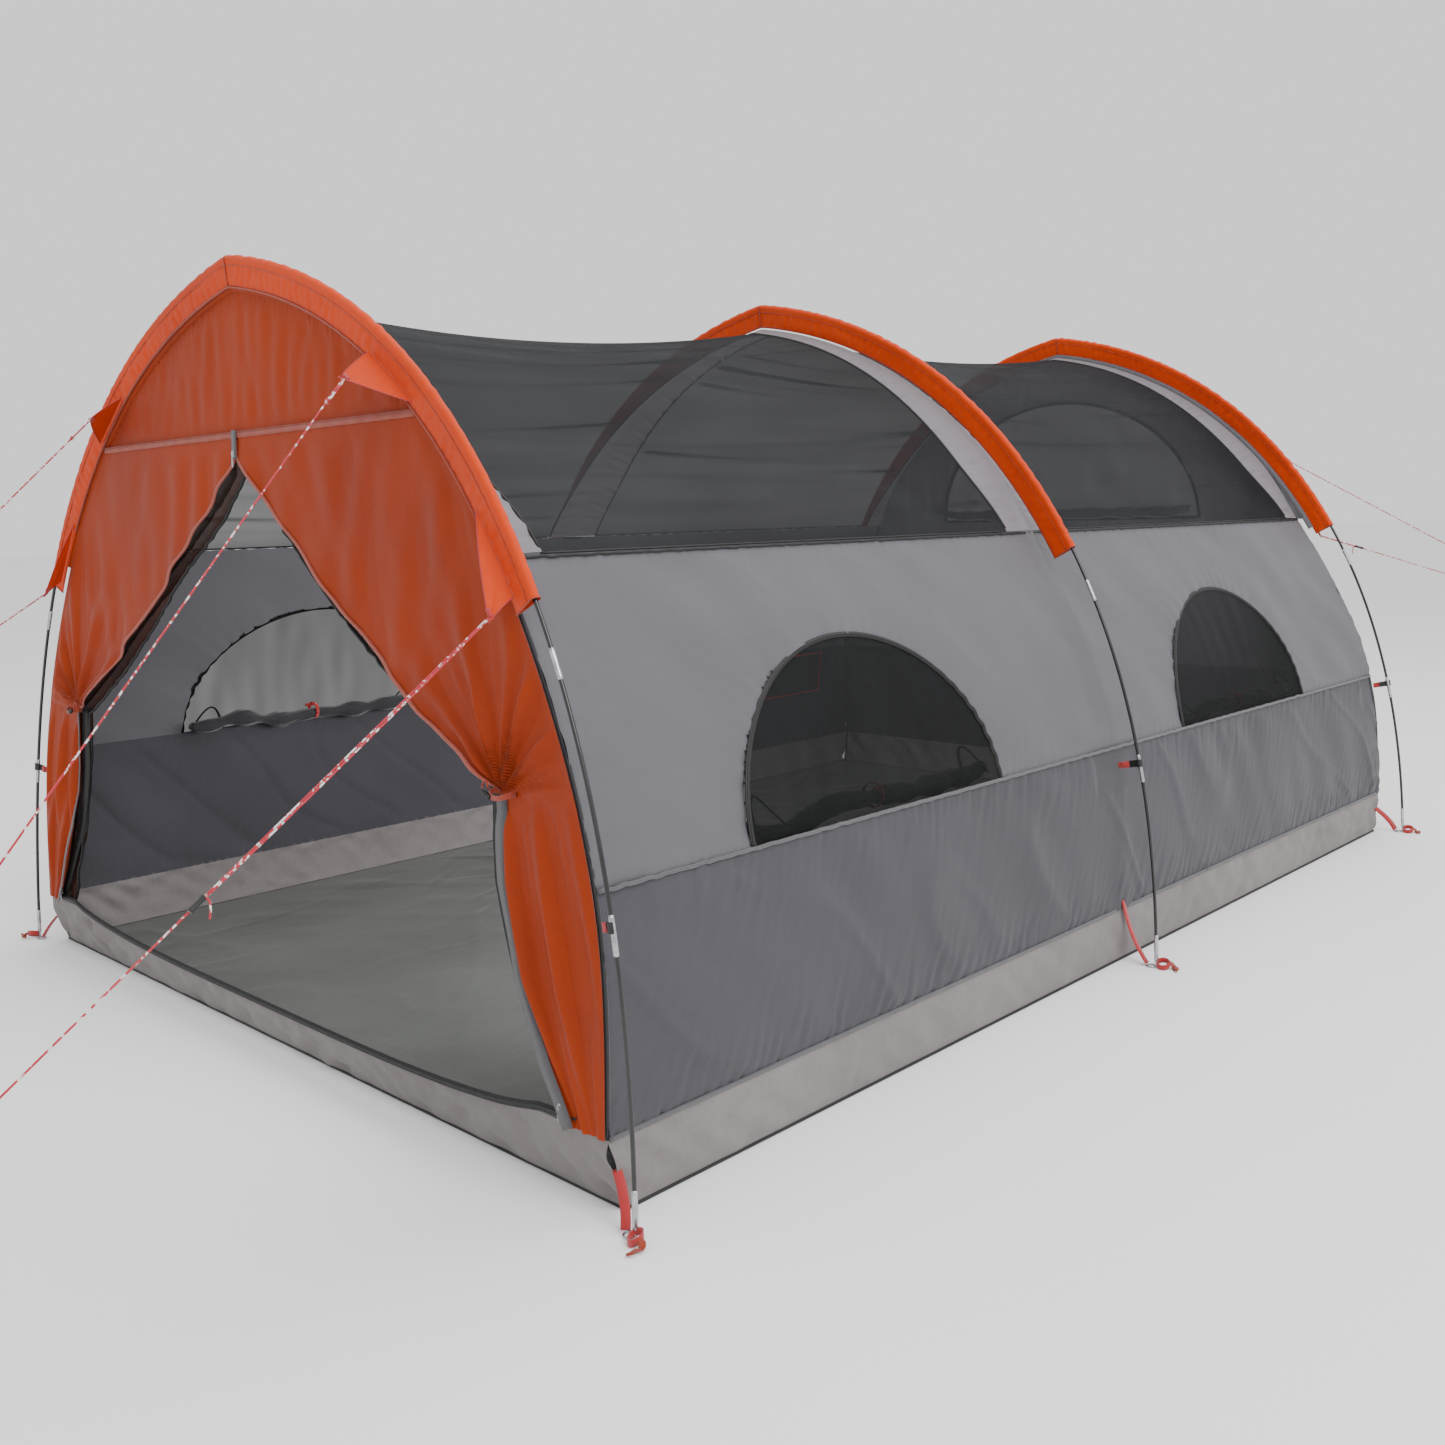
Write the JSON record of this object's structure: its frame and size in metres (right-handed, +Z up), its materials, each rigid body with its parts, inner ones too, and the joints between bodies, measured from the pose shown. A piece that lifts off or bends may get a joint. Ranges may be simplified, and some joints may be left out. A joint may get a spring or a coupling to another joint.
{
  "type": "tunnel tent",
  "caption": "Standing-height tunnel tent on arched pole hoops, with tied-back doors, netting roof and windows, a groundsheet tub and taut guy lines.",
  "frame": {"origin": "on the ground, midway between the hoops' feet", "axes": "+Z up, -Y out of the doorway, +X to the right of someone who looks along +Y into the tent"},
  "size_m": [3.0112, 5.9455, 2.0981],
  "materials": {
    "door_cloth": "burnt orange woven polyester with a soft satin sheen",
    "sleeve_cloth": "bright orange woven polyester pole sleeves and patches",
    "upper_wall": "mid grey woven polyester with a soft sheen",
    "lower_wall": "darker grey woven polyester",
    "tub_cloth": "warm beige-grey coated cloth, creased",
    "band_cloth": "light grey woven polyester, gathered",
    "groundsheet": "dark grey coated groundsheet with a dull sheen",
    "roof_mesh": "charcoal see-through netting",
    "window_mesh": "black fine netting with a zip binding",
    "door_mesh": "dark brown netting",
    "pole_black": "black lacquered fibreglass, satin",
    "clip_plastic": "black moulded plastic",
    "steel": "plain steel, lightly brushed",
    "guy_cord": "red braided cord with pale flecks"
  },
  "bodies": {
    "tent": {"floor_sheet": "groundsheet", "tub_band": "tub_cloth", "wall_left_lower": "lower_wall", "wall_left_upper": "upper_wall", "window_screen_left_front": "window_mesh", "window_screen_left_rear": "window_mesh", "door_left": "door_cloth", "mesh_door_left": "door_mesh", "wall_right_lower": "lower_wall", "wall_right_upper": "upper_wall", "window_screen_right_front": "window_mesh", "window_screen_right_rear": "window_mesh", "door_right": "door_cloth", "mesh_door_right": "door_mesh", "wall_rear_lower": "lower_wall", "wall_rear_middle": "upper_wall", "wall_rear_gable": "upper_wall", "window_screen_rear": "window_mesh", "gable_front": "door_cloth", "band_front": "band_cloth", "band_middle": "band_cloth", "band_rear": "band_cloth", "roof_mesh_front": "roof_mesh", "roof_mesh_rear": "roof_mesh", "sleeve_front": "sleeve_cloth", "sleeve_middle": "sleeve_cloth", "sleeve_rear": "sleeve_cloth", "pole_front_elbow": "pole_black", "pole_front_left": "pole_black", "foot_pin_front_left": "steel", "pole_front_right": "pole_black", "foot_pin_front_right": "steel", "pole_middle_elbow": "pole_black", "pole_middle_left": "pole_black", "foot_pin_middle_left": "steel", "pole_middle_right": "pole_black", "foot_pin_middle_right": "steel", "pole_rear_elbow": "pole_black", "pole_rear_left": "pole_black", "foot_pin_rear_left": "steel", "pole_rear_right": "pole_black", "foot_pin_rear_right": "steel", "guy_front_right_upper": "guy_cord", "guy_front_right_lower": "guy_cord", "guy_front_left_upper": "guy_cord", "guy_front_left_lower": "guy_cord", "guy_rear_right_upper": "guy_cord", "guy_rear_right_lower": "guy_cord"},
    "clip_front_left": {"clip_front_left": "clip_plastic"},
    "clip_front_right": {"clip_front_right": "clip_plastic"},
    "clip_middle_left": {"clip_middle_left": "clip_plastic"},
    "clip_middle_right": {"clip_middle_right": "clip_plastic"},
    "clip_rear_left": {"clip_rear_left": "clip_plastic"},
    "clip_rear_right": {"clip_rear_right": "clip_plastic"},
    "runner_front_right": {"runner_front_right": "clip_plastic"},
    "runner_rear_right": {"runner_rear_right": "clip_plastic"},
    "door_slider": {"zip_slider_door": "steel"},
    "door_tab": {"zip_tab_door": "steel"},
    "sill_slider_left": {"zip_slider_sill_left": "steel"},
    "sill_slider_right": {"zip_slider_sill_right": "steel"}
  },
  "joints": [
    {"name": "clip_front_left_swing", "type": "hinge", "parent": "tent", "child": "clip_front_left", "pos_m": [-1.36184, -2.08186, 0.57616], "axis": [-0.2076, -0.0459, -0.9771], "range_deg": [0, 90]},
    {"name": "clip_front_right_swing", "type": "hinge", "parent": "tent", "child": "clip_front_right", "pos_m": [1.36184, -2.08186, 0.57616], "axis": [-0.2076, 0.0459, 0.9771], "range_deg": [0, 90]},
    {"name": "clip_middle_left_swing", "type": "hinge", "parent": "tent", "child": "clip_middle_left", "pos_m": [-1.36131, -0.06891, 0.58881], "axis": [-0.2052, 0.0067, -0.9787], "range_deg": [0, 60]},
    {"name": "clip_middle_right_swing", "type": "hinge", "parent": "tent", "child": "clip_middle_right", "pos_m": [1.36131, -0.06891, 0.58881], "axis": [-0.2052, -0.0067, 0.9787], "range_deg": [0, 60]},
    {"name": "clip_rear_left_swing", "type": "hinge", "parent": "tent", "child": "clip_rear_left", "pos_m": [-1.35993, 2.04624, 0.6013], "axis": [0.1983, -0.106, 0.9744], "range_deg": [0, 75]},
    {"name": "clip_rear_right_swing", "type": "hinge", "parent": "tent", "child": "clip_rear_right", "pos_m": [1.35993, 2.04624, 0.6013], "axis": [0.1983, 0.106, -0.9744], "range_deg": [0, 75]},
    {"name": "runner_front_right_slide", "type": "slide", "parent": "tent", "child": "runner_front_right", "axis": [0.0101, 0.8182, 0.5748], "range_m": [0, 0.25]},
    {"name": "runner_rear_right_slide", "type": "slide", "parent": "tent", "child": "runner_rear_right", "axis": [-0.5134, -0.8128, 0.2752], "range_m": [0, 0.1]},
    {"name": "door_slider_slide", "type": "slide", "parent": "tent", "child": "door_slider", "axis": [0, 0.0469, 0.9989], "range_m": [0, 0.03]},
    {"name": "door_tab_swing", "type": "hinge", "parent": "door_slider", "child": "door_tab", "pos_m": [0, -2.05887, 1.524], "axis": [-1, 0, 0], "range_deg": [0, 80]},
    {"name": "sill_slider_left_slide", "type": "slide", "parent": "tent", "child": "sill_slider_left", "axis": [1, 0, 0], "range_m": [0, 0.1]},
    {"name": "sill_slider_right_slide", "type": "slide", "parent": "tent", "child": "sill_slider_right", "axis": [-1, 0, 0], "range_m": [0, 0.1]}
  ]
}
